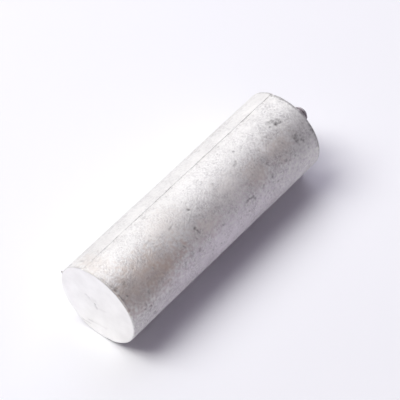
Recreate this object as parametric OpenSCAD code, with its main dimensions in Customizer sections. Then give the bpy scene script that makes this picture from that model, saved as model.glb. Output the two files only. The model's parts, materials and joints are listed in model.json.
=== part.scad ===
// Sacrificial anode: a round bar of anode alloy with a threaded stud cast into one end.
// It lies on its side with its axis along X, its stud towards +X, and the floor at z = 0.
// All sizes are in millimetres, and angles are in degrees.

/* [Casting] */
// Diameter of the cast bar
body_d = 32; // [20:1:60]
// Length of the cast bar, from the faced end to the seat round the stud
body_l = 100; // [50:5:300]
// How far the two halves of the mould were out of line, which leaves a step along both seams
mould_shift = 0.3; // [0.1:0.05:0.6]
// Angle by which the mould's parting plane leans from upright as the bar lies
seam_lean = 21; // [0:1:45]
// Chamfer that breaks the edge of the faced end
free_end_chamfer = 0.4; // [0.2:0.1:2]
// Rounding of the as-cast edge at the stud end
stud_end_round = 0.8; // [0.3:0.1:3]

/* [Stud] */
// Nominal diameter of the stud's thread
stud_d = 6; // [5:1:12]
// Pitch of the thread
thread_pitch = 1; // [0.8:0.05:1.75]
// Length of stud that stands out of the casting
stud_out = 10; // [6:1:40]
// How far the start of the thread lies below the seat, where the casting closes round it
thread_sunk = 0.1; // [0.1:0.1:3]
// Length of stud inside the casting
stud_embed = 20; // [10:1:40]

/* [Hidden] */
$fn = 96;
body_r = body_d / 2;
stud_r = stud_d / 2;

// A rolled thread's blank has the thread's pitch diameter, and its tip is chamfered to the root
pitch_d_factor = 0.6495;
thread_depth_factor = 0.6134;
shank_r = (stud_d - pitch_d_factor * thread_pitch) / 2;
tip_chamfer = thread_depth_factor * thread_pitch;

// Height of the axis at which the lower half, or the lower seam's edge, just touches the floor
half_shift = mould_shift / 2;
lower_half_reach = body_r - half_shift * cos(seam_lean);
lower_seam_reach = (body_r + half_shift) * cos(seam_lean);
axis_z = max(lower_half_reach, lower_seam_reach);

// The origin is below the middle of the whole length
free_face_x = -(body_l + stud_out) / 2;

// Turns the upright bar, whose local X lies in the parting plane, into its place on the floor
module lie_down() {
    translate([free_face_x, 0, axis_z])
        rotate([-seam_lean, 0, 0])
            rotate([0, 90, 0])
                children();
}

// Section of the bar from its axis outwards, with the faced end at y = 0
module bar_section() {
    difference() {
        square([body_r, body_l]);
        // Edge broken at the faced end
        translate([body_r, 0])
            rotate(45)
                square(free_end_chamfer * sqrt(2), center = true);
        // Corner outside the rounding at the stud end
        translate([body_r - stud_end_round, body_l - stud_end_round])
            difference() {
                square(2 * stud_end_round);
                circle(stud_end_round);
            }
    }
}

// What one half of the mould forms, on the +Y side of the parting plane
module mould_half() {
    rotate_extrude(angle = 180)
        bar_section();
}

// The stud's turned outline: plain shank, thread at its full diameter, chamfered tip
module stud_shape() {
    shank_end = body_l - stud_embed;
    thread_start = body_l - thread_sunk;
    stud_tip = body_l + stud_out;
    rotate_extrude()
        polygon([
            [0, shank_end],
            [shank_r, shank_end],
            [shank_r, thread_start],
            [stud_r, thread_start],
            [stud_r, stud_tip - tip_chamfer],
            [stud_r - tip_chamfer, stud_tip],
            [0, stud_tip]
        ]);
}

// The two halves of the casting, out of line by the mould's shift, closed round the stud
module anode_casting() {
    color([0.82, 0.81, 0.80])
        lie_down()
            difference() {
                union() {
                    translate([-half_shift, 0, 0])
                        mould_half();
                    translate([half_shift, 0, 0])
                        rotate(180)
                            mould_half();
                }
                stud_shape();
            }
}

module threaded_stud() {
    color([0.36, 0.34, 0.37])
        lie_down()
            stud_shape();
}

anode_casting();
threaded_stud();
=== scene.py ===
import json
import math

import bpy
import numpy as np
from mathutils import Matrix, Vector, noise


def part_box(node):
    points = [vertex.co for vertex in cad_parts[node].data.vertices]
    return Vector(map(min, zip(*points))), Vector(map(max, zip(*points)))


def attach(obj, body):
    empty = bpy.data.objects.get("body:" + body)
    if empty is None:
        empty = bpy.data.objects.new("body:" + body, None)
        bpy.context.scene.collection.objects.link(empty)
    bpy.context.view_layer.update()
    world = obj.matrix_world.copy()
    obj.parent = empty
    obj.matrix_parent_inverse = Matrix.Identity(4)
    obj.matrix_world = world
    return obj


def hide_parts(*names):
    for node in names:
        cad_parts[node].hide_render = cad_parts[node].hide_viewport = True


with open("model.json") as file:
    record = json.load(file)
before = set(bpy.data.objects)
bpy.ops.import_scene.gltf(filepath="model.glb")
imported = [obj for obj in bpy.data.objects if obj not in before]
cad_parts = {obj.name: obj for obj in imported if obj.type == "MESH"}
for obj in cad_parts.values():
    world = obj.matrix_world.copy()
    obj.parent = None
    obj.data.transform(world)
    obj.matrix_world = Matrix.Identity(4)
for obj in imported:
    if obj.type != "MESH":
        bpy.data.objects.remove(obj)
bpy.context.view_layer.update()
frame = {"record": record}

# The casting: one round bar of anode alloy, poured in a metal mould of two halves and left as cast.
# The mould was a little out of line, so a low step runs along both seams. The free end is faced in
# a lathe, which breaks its edge and opens a little shrinkage at its centre. Sizes are in millimetres.
MM = 0.001
casting_low, casting_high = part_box("anode_casting")
stud_mount = next(m for m in frame["record"]["mounts"] if m["name"] == "stud")
axis_z = stud_mount["pos_m"][2] / MM
free_face_x = casting_low.x / MM
bar_length = (casting_high.x - casting_low.x) / MM
mould_shift = 0.3
# The mould's parting plane leans from upright by this many degrees
seam_lean = 21
seam_angle = math.radians(90 - seam_lean)
# The half of the casting that meets the floor is shifted up, so the axis lies lower than the radius
bar_radius = axis_z + mould_shift / 2 * math.sin(seam_angle)
free_end_chamfer = 0.4
stud_end_round = 0.8
bore_radius = stud_mount["dims"]["r_mm"]
thread_sunk = 0.1
shank_radius = 2.675
stud_embed = 20

# Angles run from +Y towards +Z, half by half from the upper seam, and the camera's half comes first.
# The riser of each seam's step is a narrow strip of its own.
half_steps = 140
riser_width = 0.08
riser_angle = riser_width / bar_radius
half_turn = np.linspace(riser_angle / 2, math.pi - riser_angle / 2, half_steps)
angles = seam_angle + np.concatenate([half_turn, half_turn + math.pi])
half_side = np.repeat([-1.0, 1.0], half_steps)

# Rings of the outline, from the faced end's centre along the bar to the bottom of the stud's hole.
# Each is a place along the bar and a radius.
face_step = 0.4
side_step = 0.36
round_steps = 6
seat_steps = 14
face_radius = bar_radius - free_end_chamfer
seat_radius = bar_radius - stud_end_round
face_rings = [(0.0, r) for r in np.linspace(face_step, face_radius, round(face_radius / face_step))]
chamfer_rings = [(free_end_chamfer * t, face_radius + free_end_chamfer * t) for t in (1 / 3, 2 / 3)]
side_length = bar_length - free_end_chamfer - stud_end_round
side_rings = [
    (free_end_chamfer + side_length * t, bar_radius)
    for t in np.linspace(0, 1, round(side_length / side_step))
]
round_rings = [
    (bar_length - stud_end_round * (1 - math.sin(a)), seat_radius + stud_end_round * math.cos(a))
    for a in np.linspace(0, math.pi / 2, round_steps)[1:]
]
seat_rings = [(bar_length, r) for r in np.linspace(seat_radius, bore_radius, seat_steps)[1:]]
hole_rings = [
    (bar_length - thread_sunk, bore_radius),
    (bar_length - thread_sunk, shank_radius),
    (bar_length - stud_embed, shank_radius),
]
rings = np.array(face_rings + chamfer_rings + side_rings + round_rings + seat_rings + hole_rings)
along = rings[:, 0]
ring_radius = rings[:, 1]

ring_count = len(rings)
per_ring = len(angles)
skin_start = len(face_rings)
skin_end = skin_start + len(chamfer_rings) + len(side_rings) + len(round_rings)
seat_end = skin_end + len(seat_rings)
on_face = slice(0, skin_start)
on_skin = slice(skin_start, skin_end)
on_seat = slice(skin_end, seat_end)
skin_along = np.repeat(along[on_skin, None], per_ring, axis=1)
skin_angle = np.repeat(np.degrees(angles)[None, :], skin_end - skin_start, axis=0)
skin_turn = np.radians(skin_angle)


def lumps(places, size, octaves=1):
    """Smooth noise from about -1 to 1 at each place, with lumps of this size in millimetres."""
    flat = places.reshape(-1, 3) / size
    made = [noise.fractal(Vector(p), 1.0, 2.0, octaves) for p in flat.tolist()]
    return np.array(made).reshape(places.shape[:-1])


# The skin waves a little where the mould's dressing was thick, and has the dressing's sandy grain.
# The real grain is 0.3 to 0.7 mm. The mesh draws it at 1 mm, as coarse as its points need.
wave_size, wave_height, wave_octaves = 16.0, 0.07, 2
swell_size, swell_height = 4.5, 0.025
grain_size, grain_height = 1.0, 0.014
true_places = np.stack([
    skin_along,
    bar_radius * np.cos(skin_turn),
    bar_radius * np.sin(skin_turn),
], axis=-1)
grain = lumps(true_places, grain_size)
relief = wave_height * lumps(true_places, wave_size, wave_octaves)
relief += swell_height * lumps(true_places, swell_size)

# The dressing lay thin beside the upper seam, on the half away from the camera, so a strip of the skin
# is smoother there. Past the strip's width in degrees it roughens again.
strip_width, strip_fade, strip_sandiness = 42, 30, 0.5
past_seam = np.abs((skin_angle - math.degrees(seam_angle) + 180) % 360 - 180)
roughening = np.clip(strip_sandiness + (past_seam - strip_width) / strip_fade, strip_sandiness, 1)
sandiness = np.where(half_side > 0, roughening, 1.0)
relief += grain_height * grain * sandiness

mark_reach, mark_softness, mark_raggedness = 1.5, 1.1, 0.8


def mark(place_along, place_angle, length, width, turn):
    """How far each point of the skin lies inside a ragged, soft-edged mark, from 0 to 1."""
    ahead = skin_along - place_along
    around = np.radians((skin_angle - place_angle + 180) % 360 - 180) * bar_radius
    lean = math.radians(turn)
    lengthwise = ahead * math.cos(lean) + around * math.sin(lean)
    across = around * math.cos(lean) - ahead * math.sin(lean)
    out = np.hypot(lengthwise / (length / 2), across / (width / 2)) + mark_raggedness * grain
    return np.clip((mark_reach - out) / mark_softness, 0, 1)


# Marks of handling and casting, and broad painted shade: place along the bar in mm and round it in
# degrees, length and width in mm, turn from the bar's length in degrees, depth in mm, and how dark the
# mark is
skin_marks = [
    # Scuffs and spots near the stud end
    (89.6, 103, 4.8, 2.6, 35, 0.02, 0.65),
    (91.6, 104.5, 1.2, 1.0, 0, 0.02, 0.25),
    (89.4, 103, 5.5, 3.0, 40, 0.0, 0.3),
    (86.8, 103, 1.6, 1.2, 20, 0.02, 0.4),
    (87.6, 97.5, 2.4, 1.6, 0, 0.02, 0.35),
    (90.6, 106.5, 1.6, 1.4, 20, 0.02, 0.45),
    (91.2, 136, 3.0, 2.2, 100, 0.03, 0.55),
    (93.5, 142, 2.2, 1.4, 60, 0.02, 0.4),
    (83.4, 148, 1.3, 0.8, 20, 0.04, 0.35),
    (85.0, 140.5, 1.2, 0.7, 30, 0.03, 0.35),
    (87.8, 152, 1.0, 0.8, 0, 0.05, 0.5),
    (78.7, 143, 1.1, 0.8, 0, 0.03, 0.25),
    (79.0, 166, 1.2, 0.9, 30, 0.04, 0.3),
    (77.0, 163, 1.0, 0.8, 0, 0.03, 0.3),
    (82.0, 176, 1.1, 0.8, 60, 0.03, 0.3),
    (93.5, 106, 0.9, 0.8, 0, 0.04, 0.4),
    (98.2, 91, 1.0, 0.8, 0, 0.05, 0.6),
    (98.0, 86.5, 1.1, 0.7, 0, 0.05, 0.4),
    (76.0, 134, 1.1, 1.1, 0, 0.03, 0.22),
    (80.4, 133, 0.9, 1.1, 0, 0.03, 0.25),
    (81.2, 147, 0.9, 0.7, 40, 0.03, 0.3),
    (79.6, 156, 0.8, 0.7, 0, 0.03, 0.3),
    (76.4, 150, 0.9, 0.7, 70, 0.03, 0.25),
    (74.4, 158, 1.0, 0.7, 20, 0.03, 0.28),
    (82.6, 160, 0.8, 0.7, 0, 0.03, 0.28),
    (84.6, 151, 0.8, 0.7, 0, 0.03, 0.3),
    (88.4, 144, 0.9, 0.7, 50, 0.03, 0.28),
    (73.0, 167, 0.9, 0.7, 0, 0.03, 0.28),
    # Thin, broad grey darkening on the side near each end
    (88.0, 112, 28.0, 15.0, 80, 0.0, 0.13),
    (97.0, 118, 18.0, 5.0, 90, 0.0, 0.1),
    (84.0, 168, 14.0, 6.0, 0, 0.0, 0.08),
    (91.0, 121, 12.0, 8.0, 70, 0.0, 0.18),
    (92.5, 134, 8.0, 7.0, 80, 0.0, 0.15),
    (75.0, 132, 9.0, 8.0, 0, 0.0, 0.1),
    (9.0, 152, 13.0, 7.0, 0, 0.0, 0.14),
    (12.0, 175, 20.0, 6.0, 0, 0.0, 0.15),
    (82.0, 138, 22.0, 12.0, 0, 0.0, 0.06),
    (4.0, 128, 8.0, 6.0, 80, 0.0, 0.12),
    # Painted shade along the whole bar, on both sides of the upper seam: a thin grey that dims the
    # highlight
    (50.0, 72, 120.0, 20.0, 0, 0.0, 0.04),
    (50.0, 55, 120.0, 11.0, 0, 0.0, 0.07),
    # Painted shade in the rounded edge of the stud end, in dark stretches and spots, some with small dents
    (99.3, 50, 6.0, 0.8, 90, 0.0, 0.4),
    (99.3, 62, 5.0, 0.8, 90, 0.0, 0.4),
    (99.0, 70, 1.6, 1.6, 0, 0.02, 0.5),
    (99.2, 84, 6.0, 1.1, 90, 0.0, 0.5),
    (99.3, 100, 8.0, 0.8, 90, 0.0, 0.45),
    (99.2, 140, 9.0, 1.0, 90, 0.02, 0.5),
    (98.8, 150, 4.0, 1.4, 80, 0.02, 0.3),
    (99.3, 164, 7.0, 0.8, 90, 0.02, 0.35),
    (98.9, 146, 7.0, 1.6, 90, 0.0, 0.35),
    (98.8, 158, 5.0, 1.4, 90, 0.0, 0.3),
    (99.4, 186, 9.0, 0.7, 90, 0.02, 0.35),
    # A crack that curls at its end, from a cold lap of the pour
    (61.2, 152, 2.6, 0.6, -8, 0.09, 0.6),
    (63.8, 152.5, 2.4, 0.7, 12, 0.09, 0.7),
    (64.8, 156, 1.6, 0.7, 75, 0.07, 0.5),
    # A pair of gas pits, one drawn out
    (38.3, 130, 1.1, 0.9, 0, 0.16, 0.7),
    (38.7, 136, 1.6, 0.6, 75, 0.08, 0.4),
    # Small pits and spots along the middle
    (41.0, 108.8, 1.2, 0.9, 10, 0.1, 0.65),
    (40.0, 115, 1.6, 0.6, 110, 0.05, 0.3),
    (31.5, 109, 2.0, 0.9, 0, 0.03, 0.35),
    (31.0, 138, 2.8, 0.5, 60, 0.03, 0.3),
    (21.7, 103, 1.4, 0.8, 0, 0.03, 0.35),
    (66.3, 107.2, 2.4, 0.9, -30, 0.04, 0.45),
    (70.0, 93.2, 0.8, 0.9, 0, 0.07, 0.6),
    (73.0, 96.5, 1.8, 1.3, 0, 0.02, 0.3),
    (57.0, 90, 1.4, 0.9, 0, 0.02, 0.25),
    (55.0, 105.7, 1.1, 0.8, 0, 0.03, 0.35),
    (69.0, 73.5, 1.2, 0.8, 0, 0.03, 0.25),
    (75.4, 151.5, 1.0, 0.9, 0, 0.04, 0.45),
    (70.3, 152, 0.9, 0.9, 0, 0.04, 0.35),
    (48.8, 152.7, 1.0, 0.8, 0, 0.04, 0.45),
    (35.8, 155, 1.0, 0.9, 0, 0.04, 0.4),
    (32.5, 152, 1.1, 1.5, 0, 0.04, 0.35),
    (41.0, 170.7, 1.2, 0.7, 30, 0.04, 0.4),
    # Drips and spots near the faced end
    (10.6, 148, 1.4, 2.6, 60, 0.03, 0.35),
    (11.0, 184, 3.6, 1.1, 55, 0.04, 0.4),
    (5.0, 119.5, 2.0, 0.7, 0, 0.04, 0.4),
    (2.8, 133.2, 0.9, 0.8, 0, 0.06, 0.6),
    (1.3, 40.5, 1.2, 1.2, 0, 0.04, 0.5),
    (3.2, 57.5, 1.8, 1.2, 60, 0.03, 0.45),
    # Dark lines, slightly sunk, just behind the faced end's rim
    (1.2, 118.5, 3.0, 1.3, 90, 0.03, 0.45),
    (0.7, 104, 7.0, 0.6, 90, 0.03, 0.25),
    (0.8, 134, 7.0, 0.6, 90, 0.03, 0.4),
    (0.6, 62, 5.0, 0.6, 90, 0.01, 0.1),
    # Grey film, scuffs, pits and a lap crack on the side away from the camera.
    # The first two rows are painted shade, a grey that dims the highlight along the upper side there.
    (30.0, 30, 64.0, 11.0, 3, 0.0, 0.17),
    (78.0, 31, 52.0, 11.0, -4, 0.0, 0.19),
    (22.0, 8, 30.0, 14.0, 10, 0.0, 0.12),
    (70.0, 350, 34.0, 12.0, 170, 0.0, 0.12),
    (90.0, 16, 16.0, 9.0, 80, 0.0, 0.16),
    (6.0, 340, 12.0, 10.0, 80, 0.0, 0.14),
    (34.0, 15, 3.6, 1.6, 30, 0.02, 0.5),
    (36.0, 11, 1.4, 1.0, 0, 0.03, 0.4),
    (58.0, 5, 2.4, 0.6, -20, 0.08, 0.6),
    (60.2, 3, 1.8, 0.6, 40, 0.07, 0.5),
    (81.0, 358, 4.4, 2.4, 50, 0.02, 0.55),
    (83.5, 353, 1.4, 1.0, 0, 0.04, 0.45),
    (47.0, 345, 1.2, 0.9, 0, 0.12, 0.65),
    (15.0, 352, 1.0, 0.8, 0, 0.06, 0.5),
    (26.0, 330, 2.0, 0.7, 70, 0.04, 0.4),
    (74.0, 16, 1.2, 0.9, 20, 0.05, 0.45),
    # A crumb of burr that stands out of the rim
    (0.2, 17.5, 1.0, 1.0, 0, -0.65, 0.9),
]
# Dirt and painted shade are speckled: their darkness is scaled from point to point
speckle_size, speckle_mean, speckle_swing = 0.6, 0.9, 0.9
speckle_least, speckle_most = 0.3, 1.4
speckle = speckle_mean + speckle_swing * lumps(true_places, speckle_size)
speckle = np.clip(speckle, speckle_least, speckle_most)
dirt = np.zeros_like(relief)
for *shape, depth, darkness in skin_marks:
    inside = mark(*shape)
    relief -= depth * inside
    dirt = np.maximum(dirt, darkness * inside * speckle)

# Rough patches where the dressing flaked off: place, length, width, turn, and height of their lumps.
# Dirt lodges in the hollows between the lumps, darker where they are higher.
flaked_patches = [
    (8.6, 165, 5.4, 4.0, 30, 0.1),
    (10.5, 184, 4.5, 2.4, 50, 0.07),
    (17.0, 104, 3.6, 2.6, 10, 0.04),
    (94.0, 103, 6.0, 5.0, 20, 0.025),
    (78.0, 165, 12.0, 5.0, 10, 0.03),
    (86.0, 162, 9.0, 5.0, 10, 0.03),
    (74.0, 169, 18.0, 6.0, 5, 0.04),
    (88.0, 174, 10.0, 5.0, 5, 0.035),
    (16.0, 153, 14.0, 7.0, 0, 0.035),
    (29.0, 158, 12.0, 6.0, 10, 0.03),
    (45.0, 290, 14.0, 7.0, 20, 0.04),
    (70.0, 350, 9.0, 6.0, 0, 0.035),
]
flake_size, hollow_gain, hollow_darkness = 0.8, 1.6, 7
flakes = lumps(true_places, flake_size)
hollows = np.clip(-hollow_gain * flakes, 0, 1)
for *shape, height in flaked_patches:
    inside = mark(*shape)
    relief += height * inside * flakes
    dirt = np.maximum(dirt, hollow_darkness * height * inside * hollows)

# Painted shade lies in patches all round the rounded edge of the stud end
painted_edge_shade_lead, painted_edge_shade_fade = 0.3, 0.5
painted_edge_shade_size, painted_edge_shade_mean, painted_edge_shade_swing, painted_edge_shade_most = 4.0, 0.22, 0.35, 0.5
painted_edge_shade_start = bar_length - stud_end_round - painted_edge_shade_lead
on_edge = np.clip((skin_along - painted_edge_shade_start) / painted_edge_shade_fade, 0, 1)
painted_edge_shade = painted_edge_shade_mean + painted_edge_shade_swing * lumps(true_places, painted_edge_shade_size)
dirt = np.maximum(dirt, on_edge * np.clip(painted_edge_shade, 0, painted_edge_shade_most))

# Pinholes all round the bar, more of them towards the stud end, where the melt was poured last
pinhole_count, pinhole_seed = 120, 11
pinhole_span = (0.01, 0.98)
pinhole_size = (0.35, 0.7)
pinhole_stretch = (1, 1.8)
pinhole_depth = (0.03, 0.08)
pinhole_darkness = (0.1, 0.4)
draws = np.random.default_rng(pinhole_seed)
for _ in range(pinhole_count):
    place_along = bar_length * math.sqrt(draws.uniform(*pinhole_span))
    width = draws.uniform(*pinhole_size)
    place_angle = draws.uniform(0, 360)
    length = width * draws.uniform(*pinhole_stretch)
    turn = draws.uniform(0, 180)
    inside = mark(place_along, place_angle, length, width, turn)
    relief -= draws.uniform(*pinhole_depth) * inside
    dirt = np.maximum(dirt, draws.uniform(*pinhole_darkness) * inside)


def film(rows):
    """The strongest of these marks at each point of the skin, each scaled by its row's last value."""
    strongest = np.zeros_like(relief)
    for *shape, amount in rows:
        strongest = np.maximum(strongest, amount * mark(*shape))
    return strongest


# Straw tarnish from the last heat of the mould, strongest near the faced end
tarnish = film([
    (10, 132, 34, 14, 0, 0.7),
    (18, 138, 26, 7, 0, 0.9),
    (42, 138, 15, 8, 0, 0.35),
    (70, 133, 11, 9, 0, 0.45),
    (83, 131, 13, 9, 0, 0.4),
    (30, 102, 16, 10, 0, 0.2),
    (4, 75, 8, 14, 0, 0.3),
    (58, 128, 22, 12, 0, 0.15),
    (82, 125, 22, 10, 0, 0.1),
    (30, 300, 40, 16, 10, 0.5),
    (75, 10, 30, 14, 0, 0.3),
])
# Painted violet reflection: a violet-grey tint along each side of the bar, standing in for the violet
# light that the sides reflect from the shaded floor
bloom = film([
    (46, 178, 88, 17, 0, 0.9),
    (55, 318, 90, 14, 3, 0.6),
])

# Flash of the mould's joint fills most of the step, except along these stretches, where it broke away.
# Each is a place along the bar and a half length in mm. The step shows least near the faced end.
broken_flash = [
    (6, 1.2), (11, 1.5), (17, 0.9), (28, 2.0), (44, 2.5), (61, 4.0), (85, 4.0), (97, 2.2),
]
flash_reach = 0.7
open_size, open_mean, open_swing = 2.6, 0.32, 0.2
broken_open, broken_reach = 0.55, 1.6
faced_end_open, open_rise_length = 0.55, 90
from_seam = np.radians((skin_angle - math.degrees(seam_angle) + 90) % 180 - 90) * bar_radius
only_along = true_places * [1, 0, 0]
open_step = open_mean + open_swing * lumps(only_along, open_size)
for place, half_length in broken_flash:
    inside = np.clip(broken_reach - np.abs(skin_along - place) / half_length, 0, 1)
    open_step = np.maximum(open_step, broken_open * inside)
open_step = np.clip(open_step, 0, 1)
open_step *= np.clip(faced_end_open + skin_along / open_rise_length, 0, 1)
near_seam = np.clip(1 - np.abs(from_seam) / flash_reach, 0, 1) ** 2
step_side = np.sign(np.cos(skin_turn - seam_angle)) * half_side
relief -= step_side * near_seam * (1 - open_step) * mould_shift / 2

# Dirt and painted shade in the foot of the step
seam_dirt_and_painted_shade_size, seam_dirt_and_painted_shade_mean, seam_dirt_and_painted_shade_swing, seam_dirt_and_painted_shade_most = 1.5, 0.2, 0.3, 0.35
seam_dirt_and_painted_shade = seam_dirt_and_painted_shade_mean + seam_dirt_and_painted_shade_swing * lumps(only_along, seam_dirt_and_painted_shade_size)
seam_dirt_and_painted_shade = np.clip(seam_dirt_and_painted_shade, 0, seam_dirt_and_painted_shade_most) * open_step
dirt = np.maximum(dirt, seam_dirt_and_painted_shade * (np.abs(from_seam) < riser_width))

# Each half of the mould is out of line along the parting plane, and the faces' middles stay true
out_of_line = np.clip((ring_radius - bore_radius) / (bar_radius - bore_radius), 0, 1)
shift = mould_shift / 2 * np.outer(out_of_line, half_side)
radius = np.repeat(ring_radius[:, None], per_ring, axis=1)
radius[on_skin] += relief
around_y = radius * np.cos(angles) + shift * math.cos(seam_angle)
around_z = np.maximum(radius * np.sin(angles) + shift * math.sin(seam_angle), -axis_z)
place_x = np.repeat(along[:, None], per_ring, axis=1)

# The faced end: shrinkage opens as a ragged cleft at the middle, and a few lines of the saw show where
# the cut left too little to face. Each stroke runs between two (y, z) points in mm from the face's
# centre, and has a width, a depth and a darkness.
face_strokes = [
    ((4.6, 2.0), (3.0, 0.8), 1.1, 0.04, 0.16),
    ((3.2, 0.9), (1.0, -0.2), 1.4, 0.03, 0.09),
    ((1.1, -0.1), (0.9, -0.4), 0.9, 0.12, 0.36),
    ((0.8, -1.0), (0.2, -1.8), 1.1, 0.08, 0.24),
    ((0.2, -1.6), (-3.6, -0.4), 0.9, 0.02, 0.06),
    ((1.5, 1.0), (3.5, -1.5), 3.4, 0.02, 0.07),
    ((4.2, -11.3), (0.6, -10.6), 0.5, 0.04, 0.24),
    ((1.2, -10.7), (-3.7, -9.8), 0.5, 0.03, 0.14),
    ((3.0, -10.3), (-4.5, -8.9), 0.5, 0.02, 0.06),
    ((8.0, -13.4), (3.4, -13.0), 0.6, 0.04, 0.22),
]
stroke_reach, stroke_raggedness, stroke_lump_size = 1.4, 0.8, 1.1
face_dirt = np.zeros_like(around_y[on_face])
face_places = np.stack([np.zeros_like(face_dirt), around_y[on_face], around_z[on_face]], axis=-1)
raggedness = stroke_raggedness * lumps(face_places, stroke_lump_size)
for start, end, width, depth, darkness in face_strokes:
    run = np.subtract(end, start)
    here = face_places[..., 1:] - start
    share = np.clip(here @ run / (run @ run), 0, 1)
    away = np.linalg.norm(here - share[..., None] * run, axis=-1)
    inside = np.clip(stroke_reach - away / (width / 2) - raggedness, 0, 1)
    place_x[on_face] += depth * inside
    face_dirt = np.maximum(face_dirt, darkness * inside)

# The seat is the last metal to set, and sinks a little unevenly below the mould's edge
seat_sink, seat_sink_mean, seat_sink_swing = 0.12, 0.6, 0.4
seat_lump_size, seat_lump_octaves = 5.0, 2
stud_fade, rim_fade = 3, 2
seat_places = np.stack([0 * around_y[on_seat], around_y[on_seat], around_z[on_seat]], axis=-1)
sunk = np.clip((ring_radius[on_seat] - bore_radius) / stud_fade, 0, 1)
sunk *= np.clip((seat_radius - ring_radius[on_seat]) / rim_fade, 0, 1)
unevenness = seat_sink_mean + seat_sink_swing * lumps(seat_places, seat_lump_size, seat_lump_octaves)
place_x[on_seat] -= seat_sink * sunk[:, None] * unevenness


def ring_mesh(name, ring_points, first_middle, last_middle, sharp_angle):
    """A closed mesh over rings of points that follow +X, with a fan of triangles at each end."""
    count, per_turn, _ = ring_points.shape
    points = np.concatenate([ring_points.reshape(-1, 3), [first_middle, last_middle]]) * MM
    corner = np.arange(count * per_turn).reshape(count, per_turn)
    beside = np.roll(corner, -1, axis=1)
    quads = np.stack([corner[:-1], beside[:-1], beside[1:], corner[1:]], axis=-1).reshape(-1, 4)
    first_number, last_number = count * per_turn, count * per_turn + 1
    first_fan = [(first_number, b, a) for a, b in zip(corner[0].tolist(), beside[0].tolist())]
    last_fan = [(last_number, a, b) for a, b in zip(corner[-1].tolist(), beside[-1].tolist())]
    made = bpy.data.meshes.new(name)
    made.from_pydata(points.tolist(), [], quads.tolist() + first_fan + last_fan)
    made.shade_smooth()
    made.set_sharp_from_angle(angle=math.radians(sharp_angle))
    return made


def keep_on_points(mesh, name, amount):
    """Keeps an amount for each point of a ring mesh, with none at the two middles."""
    kept = mesh.attributes.new(name, "FLOAT", "POINT")
    kept.data.foreach_set("value", np.append(amount.reshape(-1), [0.0, 0.0]))


casting_sharp_angle = 30
casting_points = np.stack([free_face_x + place_x, around_y, axis_z + around_z], axis=-1)
face_centre = [free_face_x, 0, axis_z]
hole_centre = [free_face_x + bar_length - stud_embed, 0, axis_z]
casting_mesh = ring_mesh("anode_casting", casting_points, face_centre, hole_centre, casting_sharp_angle)
casting = bpy.data.objects.new("cast_anode_bar", casting_mesh)
bpy.context.collection.objects.link(casting)
# Dirt and painted shade on the skin, and the face's marks, as one amount for each point
all_dirt_and_painted_shade = np.zeros((ring_count, per_ring))
all_dirt_and_painted_shade[on_skin] = dirt
all_dirt_and_painted_shade[on_face] = face_dirt
all_tarnish = np.zeros((ring_count, per_ring))
all_tarnish[on_skin] = tarnish
# The painted violet reflection on the skin
all_painted_violet_reflection = np.zeros((ring_count, per_ring))
all_painted_violet_reflection[on_skin] = bloom
all_sandiness = np.ones((ring_count, per_ring))
all_sandiness[on_skin] = sandiness
keep_on_points(casting_mesh, "dirt", all_dirt_and_painted_shade)
keep_on_points(casting_mesh, "tarnish", all_tarnish)
keep_on_points(casting_mesh, "bloom", all_painted_violet_reflection)
keep_on_points(casting_mesh, "sandiness", all_sandiness)


def linear(hex_colour):
    """An sRGB hex colour as linear red, green, blue and alpha."""
    parts = [int(hex_colour[i:i + 2], 16) / 255 for i in (0, 2, 4)]
    return [p / 12.92 if p <= 0.04045 else ((p + 0.055) / 1.055) ** 2.4 for p in parts] + [1.0]


def add_node(material, kind, inputs=None, **settings):
    """Adds a node with its settings, and gives its inputs their values or links."""
    made = material.node_tree.nodes.new(kind)
    for name, value in settings.items():
        setattr(made, name, value)
    for socket, value in (inputs or {}).items():
        if isinstance(value, bpy.types.NodeSocket):
            material.node_tree.links.new(value, made.inputs[socket])
        else:
            made.inputs[socket].default_value = value
    return made


# As-cast aluminium anode alloy: a thin grey oxide over bright metal scatters the light, so the skin is
# pale and dull, sandy from the mould's dressing, and dark where dirt has lodged in it and where shade is
# painted on it.
# The sand is drawn at 0.7 mm, the coarse end of the real grain, because less would not show.
sand_size, mottle_size, cloud_size = 0.7, 4.5, 22
sand_height = 0.24
as_cast = bpy.data.materials.new("as_cast_anode_alloy")
as_cast.use_nodes = True
skin_shader = as_cast.node_tree.nodes["Principled BSDF"]
skin_shader.inputs["Metallic"].default_value = 0.66
skin_place = add_node(as_cast, "ShaderNodeTexCoord").outputs["Object"]
# This attribute holds dirt and painted shade alike
dirt_and_painted_shade_here = add_node(as_cast, "ShaderNodeAttribute", attribute_name="dirt").outputs["Fac"]
tarnish_here = add_node(as_cast, "ShaderNodeAttribute", attribute_name="tarnish").outputs["Fac"]
painted_violet_reflection_here = add_node(as_cast, "ShaderNodeAttribute", attribute_name="bloom").outputs["Fac"]
sandy_here = add_node(as_cast, "ShaderNodeAttribute", attribute_name="sandiness").outputs["Fac"]
skin_sand = add_node(as_cast, "ShaderNodeTexNoise", {
    "Vector": skin_place, "Scale": 1 / (sand_size * MM), "Detail": 2.0, "Roughness": 0.75}).outputs["Fac"]
skin_mottle = add_node(as_cast, "ShaderNodeTexNoise", {
    "Vector": skin_place, "Scale": 1 / (mottle_size * MM), "Detail": 3.0, "Roughness": 0.6}).outputs["Fac"]
skin_cloud = add_node(as_cast, "ShaderNodeTexNoise", {
    "Vector": skin_place, "Scale": 1 / (cloud_size * MM), "Detail": 2.0, "Roughness": 0.5}).outputs["Fac"]
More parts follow.
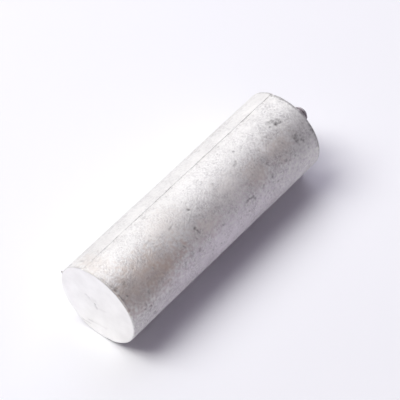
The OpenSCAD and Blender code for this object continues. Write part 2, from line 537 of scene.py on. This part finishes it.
# Grey oxide specks between the grains, in patches, over clouds of a slightly darker skin
sand_tone = add_node(as_cast, "ShaderNodeMapRange", {
    "Value": skin_sand, "From Min": 0.32, "From Max": 0.62,
    "To Min": 1.0, "To Max": 0.0}).outputs["Result"]
mottle_tone = add_node(as_cast, "ShaderNodeMapRange", {
    "Value": skin_mottle, "From Min": 0.35, "From Max": 0.65,
    "To Min": 1.0, "To Max": 0.0}).outputs["Result"]
oxide_specks = add_node(as_cast, "ShaderNodeMath", {
    0: sand_tone, 1: mottle_tone}, operation="MULTIPLY").outputs[0]
oxide_amount = add_node(as_cast, "ShaderNodeMath", {
    0: oxide_specks, 1: sandy_here}, operation="MULTIPLY").outputs[0]
oxide_colour = add_node(as_cast, "ShaderNodeMix", {
    0: oxide_amount, 6: linear("FBFBF7"), 7: linear("CDCCC8")}, data_type="RGBA").outputs[2]
cloud_tone = add_node(as_cast, "ShaderNodeMapRange", {
    "Value": skin_cloud, "From Min": 0.4, "From Max": 0.65,
    "To Min": 0.0, "To Max": 0.35}).outputs["Result"]
clouded_colour = add_node(as_cast, "ShaderNodeMix", {
    0: cloud_tone, 6: oxide_colour, 7: linear("D9D8D4")}, data_type="RGBA").outputs[2]
# The painted violet reflection tints the oxide, and tarnish, dirt and painted shade cover it
violet_reflection_colour = add_node(as_cast, "ShaderNodeMix", {
    0: painted_violet_reflection_here, 6: clouded_colour, 7: linear("F0EAF3")},
    data_type="RGBA", blend_type="MULTIPLY").outputs[2]
tarnish_amount = add_node(as_cast, "ShaderNodeMath", {
    0: tarnish_here, 1: skin_mottle}, operation="MULTIPLY").outputs[0]
tarnished_colour = add_node(as_cast, "ShaderNodeMix", {
    0: tarnish_amount, 6: violet_reflection_colour, 7: linear("CAB097")}, data_type="RGBA").outputs[2]
skin_colour = add_node(as_cast, "ShaderNodeMix", {
    0: dirt_and_painted_shade_here, 6: tarnished_colour, 7: linear("3E3836")}, data_type="RGBA").outputs[2]
as_cast.node_tree.links.new(skin_colour, skin_shader.inputs["Base Color"])
skin_roughness = add_node(as_cast, "ShaderNodeMapRange", {
    "Value": skin_mottle, "From Min": 0.3, "From Max": 0.7,
    "To Min": 0.55, "To Max": 0.69}).outputs["Result"]
as_cast.node_tree.links.new(skin_roughness, skin_shader.inputs["Roughness"])
skin_bump = add_node(as_cast, "ShaderNodeBump", {
    "Height": skin_sand, "Strength": sandy_here, "Distance": sand_height * MM}).outputs["Normal"]
as_cast.node_tree.links.new(skin_bump, skin_shader.inputs["Normal"])
casting_mesh.materials.append(as_cast)

# Faced anode alloy: freshly turned bright metal with the tool's fine rings, so it mirrors what is in
# front of it as a soft blur. The feed was about 0.2 mm, and the rings are drawn at 0.7 mm so that they
# show.
tool_ring_spacing, tool_ring_height = 0.7, 0.004
face_cloud_size = 5
faced = bpy.data.materials.new("faced_anode_alloy")
faced.use_nodes = True
faced_shader = faced.node_tree.nodes["Principled BSDF"]
faced_shader.inputs["Metallic"].default_value = 1.0
face_place = add_node(faced, "ShaderNodeTexCoord").outputs["Object"]
face_dirt_here = add_node(faced, "ShaderNodeAttribute", attribute_name="dirt").outputs["Fac"]
face_middle = add_node(faced, "ShaderNodeVectorMath", {
    0: face_place, 1: (free_face_x * MM, 0, axis_z * MM)}, operation="SUBTRACT").outputs[0]
face_reach = add_node(faced, "ShaderNodeVectorMath", {
    0: face_middle}, operation="LENGTH").outputs["Value"]
ring_turn = add_node(faced, "ShaderNodeMath", {
    0: face_reach, 1: math.tau / (tool_ring_spacing * MM)}, operation="MULTIPLY").outputs[0]
ring_wave = add_node(faced, "ShaderNodeMath", {0: ring_turn}, operation="SINE").outputs[0]
face_cloud = add_node(faced, "ShaderNodeTexNoise", {
    "Vector": face_place, "Scale": 1 / (face_cloud_size * MM), "Detail": 3.0}).outputs["Fac"]
face_tone = add_node(faced, "ShaderNodeMapRange", {
    "Value": face_cloud, "From Min": 0.35, "From Max": 0.65,
    "To Min": 0.0, "To Max": 1.0}).outputs["Result"]
turned_colour = add_node(faced, "ShaderNodeMix", {
    0: face_tone, 6: linear("F9F8F6"), 7: linear("F3F2F0")}, data_type="RGBA").outputs[2]
face_colour = add_node(faced, "ShaderNodeMix", {
    0: face_dirt_here, 6: turned_colour, 7: linear("4A4446")}, data_type="RGBA").outputs[2]
faced.node_tree.links.new(face_colour, faced_shader.inputs["Base Color"])
face_roughness = add_node(faced, "ShaderNodeMapRange", {
    "Value": face_cloud, "From Min": 0.3, "From Max": 0.7,
    "To Min": 0.36, "To Max": 0.44}).outputs["Result"]
faced.node_tree.links.new(face_roughness, faced_shader.inputs["Roughness"])
face_bump = add_node(faced, "ShaderNodeBump", {
    "Height": ring_wave, "Strength": 0.3, "Distance": tool_ring_height * MM}).outputs["Normal"]
faced.node_tree.links.new(face_bump, faced_shader.inputs["Normal"])
casting_mesh.materials.append(faced)

# The faced finish is on the face, with the fan at its centre, and on the first third of its chamfer
face_quads = len(face_rings) * per_ring
face_fan_start = (ring_count - 1) * per_ring
finish_of_face = np.zeros(len(casting_mesh.polygons), dtype=np.int32)
finish_of_face[:face_quads] = 1
finish_of_face[face_fan_start:face_fan_start + per_ring] = 1
casting_mesh.polygons.foreach_set("material_index", finish_of_face)

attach(casting, "root")
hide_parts("anode_casting")

# The stud: a short length of carbon steel with a rolled M6 thread, set in the mould so that the alloy
# freezes round its plain shank. Only the thread stands out, and its tip is chamfered to the root.
stud_radius = stud_mount["dims"]["r_mm"]
stud_out = 10.0
seat_x = free_face_x + bar_length
thread_pitch = 1.0
thread_depth_factor = 0.6134
thread_depth = thread_depth_factor * thread_pitch
crest_share = 0.125
root_rounding = 1.25
run_out_length = 0.6
turn_steps = 72
rings_per_pitch = 20
turns_round = np.linspace(0, math.tau, turn_steps, endpoint=False)
thread_along = np.arange(-thread_sunk, stud_out, thread_pitch / rings_per_pitch)
thread_along = np.append(thread_along, stud_out)

# Depth below the crest repeats with the pitch, and steps on by one pitch each turn
phase = (thread_along[:, None] / thread_pitch - turns_round[None, :] / math.tau) % 1.0
flank = np.clip((0.5 - np.abs(phase - 0.5) - crest_share / 2) / (0.5 - crest_share), 0, 1)
rounded_root = 1 - (1 - flank) ** root_rounding
below_crest = thread_depth * rounded_root
# The thread runs out just above the seat, where the alloy closed round it
below_crest *= np.clip((thread_along[:, None] + thread_sunk) / run_out_length, 0, 1)
tip_cone = stud_radius - np.clip(thread_along[:, None] - (stud_out - thread_depth), 0, thread_depth)
thread_radius = np.minimum(stud_radius - below_crest, tip_cone)
shank_along = [-stud_embed, -thread_sunk]
stud_along = np.concatenate([shank_along, thread_along])
shank_rings = np.full((len(shank_along), turn_steps), shank_radius)
stud_ring_radius = np.concatenate([shank_rings, thread_radius])
stud_points = np.stack([
    np.repeat(seat_x + stud_along[:, None], turn_steps, axis=1),
    stud_ring_radius * np.cos(turns_round),
    axis_z + stud_ring_radius * np.sin(turns_round),
], axis=-1)
stud_sharp_angle = 40
inner_centre = [seat_x - stud_embed, 0, axis_z]
tip_centre = [seat_x + stud_out, 0, axis_z]
stud_mesh = ring_mesh("threaded_stud", stud_points, inner_centre, tip_centre, stud_sharp_angle)
stud = bpy.data.objects.new("cast_in_stud", stud_mesh)
bpy.context.collection.objects.link(stud)
in_root = np.concatenate([np.zeros_like(shank_rings), below_crest / thread_depth])
keep_on_points(stud_mesh, "root", in_root)

# Rolled carbon steel, left unplated: dark and dull with a thin oxide, rubbed brighter on the crests
steel_patch_size = 1.2
rolled_steel = bpy.data.materials.new("rolled_carbon_steel")
rolled_steel.use_nodes = True
steel_shader = rolled_steel.node_tree.nodes["Principled BSDF"]
steel_shader.inputs["Metallic"].default_value = 0.85
steel_place = add_node(rolled_steel, "ShaderNodeTexCoord").outputs["Object"]
root_here = add_node(rolled_steel, "ShaderNodeAttribute", attribute_name="root").outputs["Fac"]
steel_patches = add_node(rolled_steel, "ShaderNodeTexNoise", {
    "Vector": steel_place, "Scale": 1 / (steel_patch_size * MM), "Detail": 3.0}).outputs["Fac"]
patch_tone = add_node(rolled_steel, "ShaderNodeMapRange", {
    "Value": steel_patches, "From Min": 0.35, "From Max": 0.65,
    "To Min": 0.0, "To Max": 1.0}).outputs["Result"]
oxide_tone = add_node(rolled_steel, "ShaderNodeMix", {
    0: patch_tone, 6: linear("DDD7DB"), 7: linear("BAB4B8")}, data_type="RGBA").outputs[2]
steel_colour = add_node(rolled_steel, "ShaderNodeMix", {
    0: root_here, 6: oxide_tone, 7: linear("8C8688")}, data_type="RGBA").outputs[2]
rolled_steel.node_tree.links.new(steel_colour, steel_shader.inputs["Base Color"])
steel_roughness = add_node(rolled_steel, "ShaderNodeMapRange", {
    "Value": steel_patches, "From Min": 0.3, "From Max": 0.7,
    "To Min": 0.42, "To Max": 0.6}).outputs["Result"]
rolled_steel.node_tree.links.new(steel_roughness, steel_shader.inputs["Roughness"])
stud_mesh.materials.append(rolled_steel)

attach(stud, "root")
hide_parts("threaded_stud")

# The floor: a wide sheet of matt white paper, on which the bar lies unheld. Its reach is in metres.
floor_reach = 3
floor_corners = [(x * floor_reach, y * floor_reach, 0) for x, y in ((-1, -1), (1, -1), (1, 1), (-1, 1))]
floor_mesh = bpy.data.meshes.new("floor")
floor_mesh.from_pydata(floor_corners, [], [(0, 1, 2, 3)])
floor = bpy.data.objects.new("floor", floor_mesh)
bpy.context.collection.objects.link(floor)
paper = bpy.data.materials.new("white_paper_sweep")
paper.use_nodes = True
paper_shader = paper.node_tree.nodes["Principled BSDF"]
paper_shader.inputs["Base Color"].default_value = linear("F8F9FC")
paper_shader.inputs["Roughness"].default_value = 1.0
paper_shader.inputs["Specular IOR Level"].default_value = 0.0
floor_mesh.materials.append(paper)

# The studio light: two soft boxes on the bar's left, one towards each end, and a weak low panel between
# them that the side of the bar mirrors. Each has a turn from +X towards +Y and a height in degrees, a
# width and a height of its face in metres, a power in watts, and a tint, which is bluish at the back.
softbox_distance = 1.8
softboxes = [
    ("front_softbox", 128, 58, 1.05, 1.2, 28.0, "FFFFFB"),
    ("back_softbox", 34, 53, 1.35, 1.35, 10.4, "F3F2FF"),
    ("low_panel", 50, 13, 1.8, 0.68, 4.5, "FFFFFF"),
]
for name, turn, height, width, tall, power, tint in softboxes:
    lamp = bpy.data.lights.new(name, "AREA")
    lamp.shape = "RECTANGLE"
    lamp.size = width
    lamp.size_y = tall
    lamp.energy = power
    lamp.color = linear(tint)[:3]
    softbox = bpy.data.objects.new(name, lamp)
    turn, height = math.radians(turn), math.radians(height)
    towards = Vector((
        math.cos(turn) * math.cos(height), math.sin(turn) * math.cos(height), math.sin(height)))
    softbox.location = towards * softbox_distance
    softbox.rotation_euler = towards.to_track_quat("Z", "Y").to_euler()
    bpy.context.collection.objects.link(softbox)

# The faced end throws some of the front light down on the floor before it, by paths that the renderer
# leaves out. A dim disk lamp on the face, which the camera does not see, stands in for that light.
glow_power = 0.0007
glow_gap = 0.2
glow_lamp = bpy.data.lights.new("face_glow", "AREA")
glow_lamp.shape = "DISK"
glow_lamp.size = 2 * face_radius * MM
glow_lamp.energy = glow_power
face_glow = bpy.data.objects.new("face_glow", glow_lamp)
face_glow.location = ((free_face_x - glow_gap) * MM, 0, axis_z * MM)
face_glow.rotation_euler = Vector((1, 0, 0)).to_track_quat("Z", "Y").to_euler()
face_glow.visible_camera = False
bpy.context.collection.objects.link(face_glow)

# Dim surroundings, which fill the shadow with a little violet
world = bpy.data.worlds.new("studio")
bpy.context.scene.world = world
world.use_nodes = True
world.node_tree.nodes["Background"].inputs["Color"].default_value = linear("EFD6FF")
world.node_tree.nodes["Background"].inputs["Strength"].default_value = 0.12

# The camera looks down on the free end, with the stud behind
camera_data = bpy.data.cameras.new("camera")
camera_data.sensor_width = 36
camera_data.lens = 207
camera = bpy.data.objects.new("camera", camera_data)
bpy.context.collection.objects.link(camera)
camera.location = (-0.3827, -0.3142, 0.6273)
looking_at = Vector((0.0113, 0.0106, 0.0))
camera.rotation_mode = "QUATERNION"
camera.rotation_quaternion = (looking_at - camera.location).to_track_quat("-Z", "Y")
bpy.context.scene.camera = camera
bpy.context.scene.view_settings.view_transform = "Standard"
